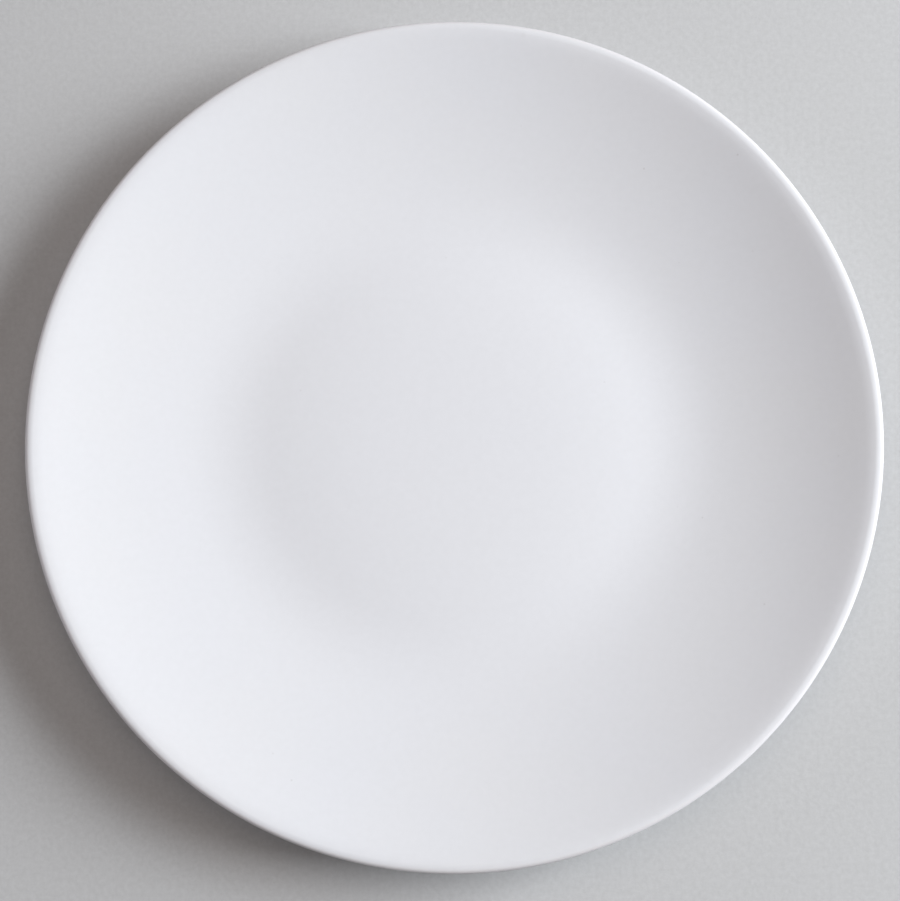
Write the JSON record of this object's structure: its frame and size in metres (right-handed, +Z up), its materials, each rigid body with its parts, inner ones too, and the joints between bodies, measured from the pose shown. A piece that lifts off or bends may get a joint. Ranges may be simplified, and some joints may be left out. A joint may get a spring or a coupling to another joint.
{
  "type": "salad plate",
  "caption": "Round coupe salad plate in white satin-glazed ceramic: a shallow dish with a rounded lip, a faintly crowned well and a bare clay foot ring that it stands on.",
  "frame": {"origin": "centre of the foot ring, in the plane of the land that stands on the table", "axes": "+Z up along the plate's axis of revolution, out of the dish; +X and +Y lie in the table"},
  "size_m": [0.21, 0.21, 0.0203],
  "materials": {
    "bare_clay": "fired and bare, dry and fine-grained",
    "satin_glaze": "satin white, with sparse fine specks",
    "recess_glaze": "satin white, a little thinner and drier"
  },
  "bodies": {
    "root": {"ceramic_body": "bare_clay", "outer_glaze": "satin_glaze", "base_glaze": "recess_glaze"}
  },
  "joints": []
}
